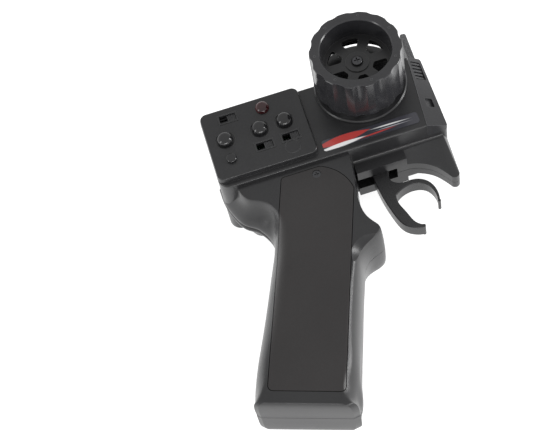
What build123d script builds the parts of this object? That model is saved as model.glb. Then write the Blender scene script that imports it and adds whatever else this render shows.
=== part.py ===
"""Pistol-grip radio transmitter, lying on its left side.

Origin: on the left face, under the steering wheel's axis. +Z runs along that axis towards the
wheel, +X towards the front of the head and +Y towards its top. All sizes are in millimetres.
"""

import os
from math import cos, radians, sin, sqrt

from build123d import *

# Head: the box that carries the wheel and the controls. The left face is at Z = 0.
head_back = -87.0
head_front = 35.5
head_bottom = -37.0
head_top = 8.0
head_right = 44.0
parting = 20.0
wall = 2.2
face_round = 0.9
parting_gap = 0.12

# Grip: raked back from the vertical, widths measured from its own centreline
grip_length = 108.5
grip_rake = 19.5
grip_top = (-42.5, -60.0)
grip_left = 2.5
side_step = 1.5
side_slope = 0.0375

# Trigger guard: a box round the trigger's slot, as thick as guard_half on both sides of the
# parting plane, and an arch in front of it that thins down to its lip
guard_half = 11.0
guard_lip = 5.0
guard_drop = 7.4
guard_front = 10.2
arch_top_share = 0.03
arch_front_bevel = 1.6
cove_radius = 1.4
notch_back = -16.8
notch_front = 4.6
notch_bottom = head_bottom - guard_drop

# Scoop for a finger under the grip's front hook
scoop_radius = 16.0
scoop_width = 10.6
scoop_down = 27.8
scoop_across = 29.5

# Front trim block
bevel_top_start = 7.1
bevel_bottom_start = 11.1
bevel_drop = 6.0
trim_depth = 9.0

# Control panel
panel_length = 54.5
panel_height = 43.3
panel_rise = 3.5
panel_skin = 1.8
panel_back = head_back
panel_top = head_top + 1.1
window_margin = 4.2

# Control board and what stands on it
board_top = head_right - 6.0
board_thickness = 1.6
knob_radius = 4.3
knob_height = 4.2
stem_radius = 2.2
spindle_radius = 1.3
lamp_radius = 3.65
button_radius = 2.8
button_travel = 0.8
slot_length = 8.8
slot_width = 4.4
lever_length = 4.2
lever_travel = 4.0
knob_spots = {
    "steering_trim": (9.9, 20.0),
    "throttle_trim": (28.9, 19.6),
    "dual_rate": (42.4, 19.1),
}
lamp_spot = (33.6, 7.4)
button_spot = (10.2, 32.2)
switch_spots = {
    "power": (14.6, 7.0),
    "steering_reverse": (28.7, 30.0),
    "throttle_reverse": (43.0, 29.2),
}

# Steering wheel
wheel_radius = 24.1
wheel_front = head_right + 31.7
wheel_back = head_right + 5.6
rim_opening = 18.5
flutes = 14
flute_depth = 1.0
disc_front = head_right + 20.0
disc_thickness = 2.4
windows = 6
window_inner = 8.4
window_outer = 15.6
spoke_width = 5.3
collar_radius = 24.7
collar_rise = 1.5
collar_thickness = 2.5
shaft_radius = 3.0
bush_radius = 5.0

# Trigger
pivot = (-4.5, head_bottom + 7.0)
pin_radius = 1.5
blade_half = 4.0
notch_half = 4.3

# Battery door, tray and cells
door_across = 19.0
door_foot = 7.3
door_gap = 0.35
door_rim = 5.5
door_rim_width = 3.6
door_skin = 2.2
bay_across = 16.6
bay_head = -6.0
cell_radius = 7.1
cell_length = 50.0
tray_length = 105.5

# Fasteners and running fits
fit = 0.05
screw_radius = 1.3
screw_head_radius = 2.6
boss_radius = 4.2


def grip_point(down, across):
    """A point of the grip: so far down its axis, so far across to the front."""
    rake = radians(grip_rake)
    x = grip_top[0] - down * sin(rake) + across * cos(rake)
    y = grip_top[1] - down * cos(rake) - across * sin(rake)
    return (x, y)


def on_grip(share, across):
    """The same, with the way down as a share of the grip's length."""
    return grip_point(share * grip_length, across)


def at_web(forward, down):
    """A point near the head's lower back corner, where the hand's web sits."""
    return (head_back + forward, head_bottom - down)


def at_neck(forward, down):
    """A point of the neck's front edge, under the trigger notch."""
    return (notch_back + forward, head_bottom - down)


def side_plane(depth):
    """The grip's right side plane, sunk by depth. It falls gently towards the base."""
    face = Plane(origin=(0, 0, head_right - side_step), x_dir=(1, 0, 0), z_dir=(0, -side_slope, 1))
    return face.offset(-depth)


def grip_plane(height):
    """A level plane turned with the grip: its X runs across to the front, its Y up the grip."""
    rake = radians(grip_rake)
    return Plane(origin=(*grip_top, height), x_dir=(cos(rake), -sin(rake), 0), z_dir=(0, 0, 1))


def on_panel(spot, height):
    """A level plane at a control, given by its distances from the panel's upper back corner."""
    return Plane(origin=(panel_back + spot[0], panel_top - spot[1], height))


# Each row gives the outline at the parting plane, the outline of the flat side, and how the
# surface rolls from the one to the other.
levels = (0.0, 0.30, 0.60, 0.82, 0.96, 1.0)
rolls = {
    "round": [1 - sqrt(1 - level * level) for level in levels],
    "shelf": [0.0, 0.08, 0.66, 0.84, 0.92, 1.0],
    "crisp": [0.0, 0.0, 0.02, 0.12, 0.45, 1.0],
}
back_rows = [
    (at_web(0.5, -13), at_web(8.6, -10), "shelf"),
    (at_web(1.0, -5), at_web(8.7, -4), "shelf"),
    (at_web(3.4, 4), at_web(9.4, 3.2), "shelf"),
    (at_web(7.5, 11), at_web(12.2, 8.2), "shelf"),
    (at_web(13.2, 15.5), at_web(18.2, 11.4), "shelf"),
    (at_web(16.8, 21.5), at_web(23.6, 17.8), "shelf"),
    (on_grip(0.135, -23.2), on_grip(0.12, -13), "round"),
    (on_grip(0.24, -23.0), on_grip(0.23, -11.5), "round"),
    (on_grip(0.41, -24.2), on_grip(0.41, -11.5), "round"),
    (on_grip(0.62, -25.8), on_grip(0.62, -13.5), "round"),
    (on_grip(0.81, -27.3), on_grip(0.81, -17), "round"),
    (on_grip(0.95, -27.0), on_grip(0.94, -20.5), "round"),
]
base_rows = [
    (on_grip(0.99, -26.3), on_grip(0.978, -20.4), "crisp"),
    (on_grip(1.0, -24), on_grip(0.985, -18.5), "crisp"),
    (on_grip(1.0, 21.5), on_grip(0.985, 14.5), "crisp"),
    (on_grip(0.985, 24.6), on_grip(0.972, 16.6), "crisp"),
]
front_rows = [
    (on_grip(0.96, 25.0), on_grip(0.95, 16.9), "round"),
    (on_grip(0.83, 24.7), on_grip(0.83, 17), "round"),
    (on_grip(0.65, 24.3), on_grip(0.65, 17.5), "round"),
    (on_grip(0.46, 24), on_grip(0.45, 17.8), "round"),
    (on_grip(0.31, 24), on_grip(0.30, 19.2), "round"),
    (on_grip(0.245, 24.6), on_grip(0.235, 21), "round"),
    (on_grip(0.19, 28.1), on_grip(0.18, 26.4), "round"),
    (on_grip(0.16, 32), on_grip(0.15, 30.8), "round"),
    (on_grip(0.13, 33.8), on_grip(0.12, 32.4), "round"),
    (on_grip(0.10, 30.2), on_grip(0.09, 29.2), "round"),
    (on_grip(0.06, 25.6), on_grip(0.05, 24.7), "round"),
    (on_grip(0.0, 22.8), on_grip(-0.005, 21.7), "round"),
    (on_grip(-0.09, 20.4), on_grip(-0.09, 19.2), "round"),
    (on_grip(-0.17, 18.9), on_grip(-0.17, 17.7), "round"),
    (at_neck(-0.2, -1), at_neck(-1.4, -1), "round"),
    (at_neck(0.3, -11), at_neck(-0.9, -10), "round"),
]


def rolled(row, step):
    """Where one row of the outline is at one of the levels."""
    (outer_x, outer_y), (flat_x, flat_y), roll = row
    share = rolls[roll][step]
    return (outer_x + (flat_x - outer_x) * share, outer_y + (flat_y - outer_y) * share)


def grip_half(side):
    """The neck, web and grip on one side of the parting plane: side is 1 right, -1 left."""
    flat = head_right - side_step if side > 0 else grip_left
    slope = side_slope if side > 0 else 0.0
    with BuildPart() as half:
        for step, level in enumerate(levels):
            origin = (0, 0, parting + level * (flat - parting))
            with BuildSketch(Plane(origin=origin, x_dir=(1, 0, 0), z_dir=(0, -level * slope, 1))):
                back = [rolled(row, step) for row in back_rows]
                base = [rolled(row, step) for row in base_rows]
                front = [rolled(row, step) for row in front_rows]
                with BuildLine():
                    Spline(*back, base[0])
                    Line(base[0], base[1])
                    Line(base[1], base[2])
                    Line(base[2], base[3])
                    Spline(base[3], *front)
                    Line(front[-1], back[0])
                make_face()
        loft()
    return half.part


def head_outline():
    """Side view of the head, with its rounded corners."""
    corners = {
        (head_back, head_bottom): 6.5,
        (head_back, head_top): 3.5,
        (head_front, head_top): 1.2,
        (head_front, head_bottom): 2.0,
    }
    with BuildSketch() as outline:
        with BuildLine():
            Polyline(*corners, close=True)
        make_face()
        for (x, y), radius in corners.items():
            fillet(vertices().sort_by_distance((x, y, 0))[0], radius)
    return outline.sketch


def arch_outline(lift):
    """Side view of the guard's arch: its lip where lift is 0, its meeting with the head where it is 1."""
    share = 1 - (1 - arch_top_share) * lift
    front = arch_front_bevel * lift
    curve = [(9.0, 7.4), (13.5, 7.9), (18.3, 9.9), (22.6, 12.8), (25.9, 16.6), (29.2, 21.8)]
    tip = [(29.2, 21.8), (32.4, 23.4), (34.2 - front, 21.0)]
    lower = [(x, head_bottom - drop * share) for x, drop in curve]
    end = [(x, head_bottom - drop * share) for x, drop in tip]
    with BuildSketch() as outline:
        with BuildLine():
            Line((6.0, head_bottom + 6), (6.0, lower[0][1]))
            Line((6.0, lower[0][1]), lower[0])
            Spline(*lower)
            ThreePointArc(*end)
            Line(end[-1], (head_front - 0.2 - front, head_bottom + 6))
            Line((head_front - 0.2 - front, head_bottom + 6), (6.0, head_bottom + 6))
        make_face()
    return outline.sketch


def guard_box():
    """Side view of the box round the trigger's slot."""
    with BuildSketch() as outline:
        with Locations(((notch_back + guard_front) / 2, (notch_bottom + head_bottom + 6) / 2)):
            Rectangle(guard_front - notch_back, head_bottom + 6 - notch_bottom)
    return outline.sketch


def guard_cove(side):
    """Hollow moulding that eases the corner between the head's underside and the guard."""
    height = parting + side * guard_half
    centre = (head_bottom - cove_radius, height + side * cove_radius)
    near = cove_radius * (1 - sqrt(0.5))
    with BuildPart() as cove:
        with BuildSketch(Plane.YZ.offset(notch_back)):
            with BuildLine():
                Polyline(
                    (head_bottom, centre[1]),
                    (head_bottom + 1, centre[1]),
                    (head_bottom + 1, height - side),
                    (centre[0], height - side),
                    (centre[0], height),
                )
                ThreePointArc(
                    (centre[0], height),
                    (head_bottom - near, height + side * near),
                    (head_bottom, centre[1]),
                )
            make_face()
        extrude(amount=head_front - 3.0 - notch_back)
    return cove.part


def solid_half(side):
    """One side of the closed body, still solid."""
    face = head_right if side > 0 else 0.0
    with BuildPart() as half:
        with BuildSketch(Plane.XY.offset(parting)):
            add(head_outline())
        extrude(amount=face - parting)
        outer_face = half.faces().sort_by(Axis.Z)[-1 if side > 0 else 0]
        fillet(outer_face.edges(), face_round)
        with BuildSketch(Plane.XY.offset(parting)):
            add(arch_outline(0))
        extrude(amount=side * guard_lip)
        with BuildSketch(Plane.XY.offset(parting + side * guard_lip)):
            add(arch_outline(0))
        with BuildSketch(Plane.XY.offset(parting + side * guard_half)):
            add(arch_outline(1))
        loft()
        with BuildSketch(Plane.XY.offset(parting)):
            add(guard_box())
        extrude(amount=side * guard_half)
        add(guard_cove(side))
        add(grip_half(side))
    return half.part


def door_outline(grow):
    """Outline of the battery door, grown by so much all round."""
    top = head_bottom - 2.3
    foot = grip_length - door_foot
    top_back_down = (grip_top[1] - top + door_across * sin(radians(grip_rake))) / cos(radians(grip_rake))
    top_back = grip_point(top_back_down, -door_across)
    top_front = (grip_top[0] + 7.5, top)
    shoulder = grip_point(-9.4, door_across - 0.5)
    with BuildSketch() as outline:
        with BuildLine():
            Line(top_back, top_front)
            ThreePointArc(top_front, (grip_top[0] + 15.9, top - 6.4), shoulder)
            Line(shoulder, grip_point(foot, door_across - 0.5))
            Line(grip_point(foot, door_across - 0.5), grip_point(foot, -door_across))
            Line(grip_point(foot, -door_across), top_back)
        make_face()
        fillet(vertices().group_by(Axis.Y)[0] + vertices().group_by(Axis.Y)[1], 2.5)
        fillet(vertices().sort_by_distance((*top_back, 0))[0], 2.0)
        if grow:
            offset(amount=grow, kind=Kind.INTERSECTION, mode=Mode.REPLACE)
    return outline.sketch


casing_screw_spots = {
    "head_back": at_web(5.8, -5.8),
    "head_middle": (-33.0, head_top - 5.6),
    "head_front": (head_front - 17.5, head_top - 6.2),
    "guard": (14.0, head_bottom + 5.6),
    "hook": on_grip(0.15, 26.0),
    "web": at_web(16.0, 5.5),
    "base": grip_point(grip_length - 4.1, -2.0),
}
head_screws = [casing_screw_spots[name] for name in ("head_back", "head_middle", "head_front", "guard")]
low_roof_start = head_front - 15.0
low_roof = head_right - trim_depth - wall


def roof_over(spot):
    """Height of the head's inner roof over a point."""
    return low_roof if spot[0] > low_roof_start else head_right - wall


def rooms(side):
    """The rooms that both halves share: the head, its lower front, the neck, the trigger notch."""
    floor = wall if side < 0 else parting
    depth = parting - wall if side < 0 else head_right - wall - parting
    low_depth = depth if side < 0 else low_roof - parting
    neck_floor = 5.0 if side < 0 else parting
    neck_depth = parting - 5.0 if side < 0 else head_right - 11.5 - parting
    head_width = head_top - head_bottom - 2 * wall
    head_middle = (head_bottom + head_top) / 2
    with BuildPart() as space:
        with BuildSketch(Plane.XY.offset(floor)):
            with Locations(((head_back + wall + low_roof_start) / 2, head_middle)):
                Rectangle(low_roof_start - head_back - wall, head_width)
        extrude(amount=depth)
        with BuildSketch(Plane.XY.offset(floor)):
            with Locations(((low_roof_start - 1 + head_front - wall) / 2, head_middle)):
                Rectangle(head_front - wall - low_roof_start + 1, head_width)
        extrude(amount=low_depth)
        # the neck carries the battery leads from the grip into the head
        with BuildSketch(Plane.XY.offset(neck_floor)):
            with Locations((grip_top[0] + 3.0, head_bottom - 11)):
                Rectangle(24, 30)
        extrude(amount=neck_depth)
        with BuildSketch(Plane.XY.offset(parting)):
            with Locations(((notch_back + notch_front) / 2, head_bottom - 2)):
                Rectangle(notch_front - notch_back, 14)
        extrude(amount=side * notch_half)
    return space.part


def parting_line(side):
    """A thin slice at the parting plane, left whole at the screw bosses."""
    with BuildPart() as line:
        with BuildSketch(Plane.XY.offset(parting)):
            with Locations((-30, -80)):
                Rectangle(400, 400)
            with Locations(*casing_screw_spots.values()):
                Circle(2.2, mode=Mode.SUBTRACT)
        extrude(amount=side * parting_gap)
    return line.part


def antenna_socket():
    """Square socket in the head's top wall, half in each casing half."""
    with BuildPart() as socket:
        with BuildSketch(Plane.XY.offset(parting - 3.1)):
            with Locations((antenna_foot, head_top)):
                Rectangle(3.2, 2 * wall + 1)
        extrude(amount=6.2)
    return socket.part


pot_floor = 12.0
radio_floor = 6.0
radio_middle = (head_front - 14.5, head_top - 20.0)
antenna_foot = head_front - 4.5
bay_foot = grip_length - 7.6
bay_middle = -(bay_foot + bay_head) / 2

# ---------------------------------------------------------------- left casing half
with BuildPart() as left_shell:
    add(solid_half(-1))
    add(rooms(-1), mode=Mode.SUBTRACT)
    # battery bay
    with BuildSketch(grip_plane(4.8)):
        with Locations((0, bay_middle)):
            Rectangle(2 * bay_across, bay_foot - bay_head)
    extrude(amount=parting - 4.8, mode=Mode.SUBTRACT)
    # screw bosses and the trigger pin's boss
    with BuildSketch(Plane.XY.offset(1)):
        with Locations(*head_screws):
            Circle(boss_radius)
    extrude(amount=parting - 1)
    with BuildSketch(Plane.XY.offset(1)):
        with Locations(pivot):
            Circle(4)
    extrude(amount=parting - blade_half - 0.4 - 1)
    with BuildSketch(Plane.XY.offset(6)):
        with Locations(pivot):
            Circle(pin_radius + fit)
    extrude(amount=parting, mode=Mode.SUBTRACT)
    # pedestals of the steering potentiometer and the radio module, and the antenna's socket
    with BuildSketch(Plane.XY.offset(1)):
        with Locations((0, 0)):
            Circle(5)
    extrude(amount=pot_floor - 1)
    with BuildSketch(Plane.XY.offset(1)):
        with Locations(radio_middle):
            with GridLocations(13, 9, 2, 2):
                Circle(1.8)
    extrude(amount=radio_floor - 1)
    add(antenna_socket(), mode=Mode.SUBTRACT)
    # screw holes, with their heads sunk in the outside
    with BuildSketch(Plane.XY.offset(-1)):
        with Locations(*casing_screw_spots.values()):
            Circle(screw_radius + 0.3)
    extrude(amount=parting + 2, mode=Mode.SUBTRACT)
    with BuildSketch(Plane.XY.offset(-1)):
        with Locations(*casing_screw_spots.values()):
            Circle(screw_head_radius + 0.4)
    extrude(amount=7.5, mode=Mode.SUBTRACT)
    add(parting_line(-1), mode=Mode.SUBTRACT)

# ---------------------------------------------------------------- right casing half
with BuildPart() as right_shell:
    add(solid_half(1))
    add(rooms(1), mode=Mode.SUBTRACT)
    # screw bosses reach the roof, and the ribs hold the throttle potentiometer
    for spot in head_screws:
        with BuildSketch(Plane.XY.offset(parting)):
            with Locations(spot):
                Circle(boss_radius - 0.5)
        extrude(amount=roof_over(spot) + 0.5 - parting)
    with BuildSketch(Plane.XY.offset(parting + blade_half + 11.5)):
        with Locations((pivot[0] - 4, pivot[1] + 1), (pivot[0] + 4, pivot[1] + 1)):
            Rectangle(1.6, 12)
    extrude(amount=head_right - wall + 0.5 - parting - blade_half - 11.5)
    # bearing tower for the steering bush
    with BuildSketch(Plane.XY.offset(head_right - 8)):
        Circle(bush_radius + 2.2)
    extrude(amount=7)
    with BuildSketch(Plane.XY.offset(head_right - 9)):
        Circle(bush_radius)
    extrude(amount=12, mode=Mode.SUBTRACT)
    add(antenna_socket(), mode=Mode.SUBTRACT)
    # window under the control panel
    with BuildSketch(Plane.XY.offset(head_right - wall - 1)):
        with Locations((panel_back + panel_length / 2, panel_top - panel_height / 2)):
            Rectangle(panel_length - 2 * window_margin, panel_height - 2 * window_margin)
    extrude(amount=wall + 2, mode=Mode.SUBTRACT)
    # seat of the front trim block
    with BuildSketch(Plane.XY.offset(head_right - trim_depth)):
        with BuildLine():
            Polyline(
                (head_front - bevel_top_start - 0.1, head_top + 2),
                (head_front - bevel_bottom_start - 0.35, head_bottom - 2),
                (head_front + 2, head_bottom - 2),
                (head_front + 2, head_top + 2),
                close=True,
            )
        make_face()
    extrude(amount=trim_depth + 2, mode=Mode.SUBTRACT)
    # seat of the collar
    with BuildSketch(Plane.XY.offset(head_right - collar_thickness + collar_rise)):
        Circle(collar_radius + fit)
    extrude(amount=10, mode=Mode.SUBTRACT)
    # battery door's recess, the bay under it, and the pockets of the door's two tabs
    with BuildSketch(side_plane(door_rim + 0.05)):
        add(door_outline(door_gap))
    extrude(amount=door_rim + 5, mode=Mode.SUBTRACT)
    with BuildSketch(grip_plane(parting)):
        with Locations((0, bay_middle)):
            Rectangle(2 * bay_across, bay_foot - bay_head)
    extrude(amount=head_right - parting - 6, mode=Mode.SUBTRACT)
    with BuildSketch(side_plane(7.4)):
        for across in (-10, 10):
            with BuildLine():
                Polyline(
                    grip_point(bay_foot - 1, across - 3.4),
                    grip_point(bay_foot + 4, across - 3.4),
                    grip_point(bay_foot + 4, across + 3.4),
                    grip_point(bay_foot - 1, across + 3.4),
                    close=True,
                )
            make_face()
    extrude(amount=4.2, mode=Mode.SUBTRACT)
    # finger scoop under the hook, a ball that leaves a round ridge on the flat side
    scoop_height = sqrt(scoop_radius**2 - scoop_width**2)
    scoop_middle = grip_point(scoop_down, scoop_across)
    side_height = head_right - side_step + side_slope * scoop_middle[1]
    with Locations((*scoop_middle, side_height + scoop_height)):
        Sphere(scoop_radius, mode=Mode.SUBTRACT)
    # hole for the door screw, wide because the screw swings out with the door
    with BuildSketch(side_plane(14)):
        with Locations((grip_top[0] + 5.0, head_bottom - 6.0)):
            Circle(1.75)
    extrude(amount=12, mode=Mode.SUBTRACT)
    # pilot holes of the casing screws
    with BuildSketch(Plane.XY.offset(parting)):
        with Locations(*casing_screw_spots.values()):
            Circle(screw_radius + fit)
    extrude(amount=9, mode=Mode.SUBTRACT)
    add(parting_line(1), mode=Mode.SUBTRACT)

# ---------------------------------------------------------------- battery door and its screw
with BuildPart() as battery_door:
    add(grip_half(1))
    with BuildSketch(side_plane(door_rim)):
        add(door_outline(0))
    extrude(amount=door_rim + 5, mode=Mode.INTERSECT)
    with BuildSketch(side_plane(door_rim)):
        add(door_outline(-door_rim_width))
    extrude(amount=door_rim - door_skin, mode=Mode.SUBTRACT)
    with BuildSketch(side_plane(door_rim)):
        for across in (-10, 10):
            with BuildLine():
                Polyline(
                    grip_point(grip_length - door_foot - 3, across - 3),
                    grip_point(grip_length - door_foot + 2.2, across - 3),
                    grip_point(grip_length - door_foot + 2.2, across + 3),
                    grip_point(grip_length - door_foot - 3, across + 3),
                    close=True,
                )
            make_face()
    extrude(amount=1.7)
    # screw pad, with a sunk seat for the head
    with BuildSketch(side_plane(door_rim)):
        with Locations((grip_top[0] + 5.0, head_bottom - 6.0)):
            Circle(3.6)
    extrude(amount=door_rim - 1)
    with BuildSketch(side_plane(door_rim + 1)):
        with Locations((grip_top[0] + 5.0, head_bottom - 6.0)):
            Circle(1.1 + fit)
    extrude(amount=10, mode=Mode.SUBTRACT)
    with BuildSketch(side_plane(1.6)):
        with Locations((grip_top[0] + 5.0, head_bottom - 6.0)):
            Circle(2.35)
    extrude(amount=5, mode=Mode.SUBTRACT)

with BuildPart() as door_screw:
    with BuildSketch(side_plane(1.6)):
        with Locations((grip_top[0] + 5.0, head_bottom - 6.0)):
            Circle(2.2)
    extrude(amount=1.2)
    with BuildSketch(side_plane(9.2)):
        with Locations((grip_top[0] + 5.0, head_bottom - 6.0)):
            Circle(1.1)
    extrude(amount=7.6)
    with BuildSketch(side_plane(1.0)):
        with Locations((grip_top[0] + 5.0, head_bottom - 6.0)):
            Rectangle(2.4, 0.5)
            Rectangle(0.5, 2.4)
    extrude(amount=2, mode=Mode.SUBTRACT)

# ---------------------------------------------------------------- control panel
panel_middle = (panel_back + panel_length / 2, panel_top - panel_height / 2)
board_size = (panel_length - 10.5, panel_height - 11.7)
board_middle = (panel_middle[0], panel_top - 5.0 - board_size[1] / 2)
board_screw_spots = [(7.6, 8.2), (20.0, 34.5), (46.6, 34.5), (46.6, 7.4)]


with BuildPart() as control_panel:
    with BuildSketch(Plane(origin=(*panel_middle, head_right))):
        RectangleRounded(panel_length, panel_height, 4.0)
    extrude(amount=panel_rise, taper=6)
    fillet(control_panel.faces().sort_by(Axis.Z)[-1].edges(), 0.8)
    with BuildSketch(Plane(origin=(*panel_middle, head_right))):
        RectangleRounded(panel_length - 5, panel_height - 5, 2.5)
    extrude(amount=panel_rise - panel_skin, mode=Mode.SUBTRACT)
    for spot in board_screw_spots:
        with BuildSketch(on_panel(spot, board_top)):
            Circle(2.0)
        extrude(amount=head_right + panel_rise - panel_skin - board_top)
        with BuildSketch(on_panel(spot, board_top)):
            Circle(0.85)
        extrude(amount=5, mode=Mode.SUBTRACT)
    for spot in knob_spots.values():
        with BuildSketch(on_panel(spot, head_right)):
            Circle(stem_radius + fit)
        extrude(amount=panel_rise + 1, mode=Mode.SUBTRACT)
        with BuildSketch(on_panel(spot, head_right + panel_rise - 0.45)):
            Circle(knob_radius + 0.9)
        extrude(amount=2, mode=Mode.SUBTRACT)
    with BuildSketch(on_panel(lamp_spot, head_right)):
        Circle(lamp_radius - 0.6)
    extrude(amount=panel_rise + 1, mode=Mode.SUBTRACT)
    with BuildSketch(on_panel(button_spot, head_right)):
        Circle(button_radius + fit)
    extrude(amount=panel_rise + 1, mode=Mode.SUBTRACT)
    for spot in switch_spots.values():
        with BuildSketch(on_panel(spot, head_right)):
            RectangleRounded(slot_length, slot_width, 0.5)
        extrude(amount=panel_rise + 1, mode=Mode.SUBTRACT)

# ---------------------------------------------------------------- knobs on the panel
panel_face = head_right + panel_rise
knob_base = panel_face - 0.35


def trim_knob(spot):
    """Domed knob with its stem and spindle in one piece."""
    with BuildPart() as knob:
        with BuildSketch(on_panel(spot, knob_base)):
            Circle(knob_radius)
        extrude(amount=knob_height)
        fillet(knob.faces().sort_by(Axis.Z)[-1].edges(), knob_radius * 0.72)
        with BuildSketch(on_panel(spot, head_right - 0.6)):
            Circle(stem_radius)
        extrude(amount=knob_base - head_right + 0.6)
        with BuildSketch(on_panel(spot, board_top + 1.2)):
            Circle(spindle_radius)
        extrude(amount=head_right - 0.6 - board_top - 1.2)
    return knob.part


def trim_pot(spot):
    """Trim potentiometer on the board, with the bore that the knob's spindle turns in."""
    with BuildPart() as pot:
        with BuildSketch(on_panel(spot, board_top)):
            RectangleRounded(7.4, 7.4, 0.6)
        extrude(amount=4.2)
        with BuildSketch(on_panel(spot, board_top + 1.0)):
            Circle(spindle_radius + fit)
        extrude(amount=8, mode=Mode.SUBTRACT)
    return pot.part


# ---------------------------------------------------------------- lamp
with BuildPart() as lamp_lens:
    with BuildSketch(on_panel(lamp_spot, head_right)):
        Circle(lamp_radius - 0.6 - fit)
    extrude(amount=panel_rise)
    with BuildSketch(on_panel(lamp_spot, panel_face)):
        Circle(lamp_radius)
    extrude(amount=2.6)
    fillet(lamp_lens.faces().sort_by(Axis.Z)[-1].edges(), 2.3)
    with BuildSketch(on_panel(lamp_spot, head_right)):
        Circle(1.7)
    extrude(amount=3, mode=Mode.SUBTRACT)

with BuildPart() as lamp_diode:
    with BuildSketch(on_panel(lamp_spot, board_top)):
        Circle(1.9)
    extrude(amount=1)
    with BuildSketch(on_panel(lamp_spot, board_top + 1)):
        Circle(1.5)
    extrude(amount=6.8)
    fillet(lamp_diode.faces().sort_by(Axis.Z)[-1].edges(), 1.3)

# ---------------------------------------------------------------- button and its switch
with BuildPart() as bind_button:
    with BuildSketch(on_panel(button_spot, head_right - 0.4)):
        Circle(button_radius)
    extrude(amount=panel_rise + 2.2)
    fillet(bind_button.faces().sort_by(Axis.Z)[-1].edges(), 0.9)
    with BuildSketch(on_panel(button_spot, head_right - 0.4)):
        Circle(button_radius + 0.7)
    extrude(amount=panel_rise - panel_skin + 0.3)

with BuildPart() as tact_switch:
    with BuildSketch(on_panel(button_spot, board_top)):
        RectangleRounded(6, 6, 0.5)
    extrude(amount=3.4)
    with BuildSketch(on_panel(button_spot, board_top + 3.4)):
        Circle(1.7)
    extrude(amount=head_right - 0.4 - button_travel - 0.1 - board_top - 3.4)


# ---------------------------------------------------------------- slide switches
def lever_plane(spot, height):
    """A slide lever rests at the front end of its slot."""
    return on_panel((spot[0] + lever_travel / 2, spot[1]), height)


def switch_lever(spot):
    """Slide lever, with ridges across its top and a foot in the switch body's groove."""
    with BuildPart() as lever:
        with BuildSketch(lever_plane(spot, board_top + 4.0)):
            Rectangle(lever_length, slot_width - 0.5)
        extrude(amount=panel_face - 0.5 - board_top - 4.0)
        with BuildSketch(lever_plane(spot, panel_face - 0.9)):
            with GridLocations(1.4, 1, 3, 1):
                Rectangle(0.5, slot_width)
        extrude(amount=1, mode=Mode.SUBTRACT)
        with BuildSketch(lever_plane(spot, board_top + 2.4)):
            Rectangle(2.4, 1.4)
        extrude(amount=1.6)
    return lever.part


def switch_body(spot):
    """Slide switch body on the board, with the groove of the lever's foot."""
    with BuildPart() as body:
        with BuildSketch(on_panel(spot, board_top)):
            Rectangle(slot_length + 0.4, slot_width + 0.2)
        extrude(amount=3.9)
        with BuildSketch(on_panel(spot, board_top + 2.2)):
            Rectangle(lever_travel + 3.0, 1.6)
        extrude(amount=3, mode=Mode.SUBTRACT)
    return body.part


# ---------------------------------------------------------------- control board and its screws
with BuildPart() as control_board:
    with BuildSketch(Plane(origin=(*board_middle, board_top))):
        RectangleRounded(*board_size, 1.0)
    extrude(amount=-board_thickness)
    for spot in board_screw_spots:
        with BuildSketch(on_panel(spot, board_top)):
            Circle(1.1)
        extrude(amount=-board_thickness, mode=Mode.SUBTRACT)

with BuildPart() as board_screws:
    for spot in board_screw_spots:
        with BuildSketch(on_panel(spot, board_top - board_thickness)):
            Circle(1.7)
        extrude(amount=-1.2)
        with BuildSketch(on_panel(spot, board_top - board_thickness)):
            Circle(0.85)
        extrude(amount=5.5)

# ---------------------------------------------------------------- label plate
with BuildPart() as label_plate:
    with BuildSketch(Plane(origin=(-4.0, head_bottom + 6.65, head_right))):
        RectangleRounded(52, 6.8, 1.5)
    extrude(amount=0.3)

# ---------------------------------------------------------------- front trim block
bevel_normal = (
    bevel_drop * (head_top - head_bottom),
    -bevel_drop * (bevel_bottom_start - bevel_top_start),
    bevel_top_start * (head_top - head_bottom),
)


def on_bevel(from_front, from_top, depth):
    """A plane sunk under the bevelled face, at a point given from the head's upper front corner."""
    edge = bevel_top_start + (bevel_bottom_start - bevel_top_start) * from_top / (head_top - head_bottom)
    drop = bevel_drop * (edge - from_front) / edge
    face = Plane(
        origin=(head_front - from_front, head_top - from_top, head_right - drop),
        x_dir=(bevel_top_start, 0, -bevel_drop),
        z_dir=bevel_normal,
    )
    return face.offset(-depth)


with BuildPart() as front_trim:
    with BuildSketch(Plane.XY.offset(head_right - trim_depth)):
        with BuildLine():
            Polyline(
                (head_front - bevel_top_start, head_top),
                (head_front - bevel_bottom_start, head_bottom),
                (head_front, head_bottom),
                (head_front, head_top),
                close=True,
            )
        make_face()
        fillet(vertices().sort_by(Axis.X)[-2:], 1.2)
    extrude(amount=trim_depth)
    # bevelled face
    for y, start in ((head_top, bevel_top_start), (head_bottom, bevel_bottom_start)):
        with BuildSketch(Plane(origin=(head_front, y, head_right), x_dir=(1, 0, 0), z_dir=(0, 1, 0))):
            with BuildLine():
                Polyline((-start, 0), (1, 0), (1, bevel_drop * (1 + 1 / start)), close=True)
            make_face()
    loft(mode=Mode.SUBTRACT)
    # ribbed recess at the top and a small plain one lower down
    with BuildSketch(on_bevel(3.9, 8.6, 1.2)):
        RectangleRounded(6.6, 12.0, 0.8)
    extrude(amount=4, mode=Mode.SUBTRACT)
    with BuildSketch(on_bevel(3.9, 8.6, 1.3)):
        with GridLocations(1, 2.3, 1, 5):
            Rectangle(6.0, 1.1)
    extrude(amount=0.95)
    with BuildSketch(on_bevel(4.6, 30.0, 1.0)):
        RectangleRounded(4.6, 5.6, 0.8)
    extrude(amount=4, mode=Mode.SUBTRACT)

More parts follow.
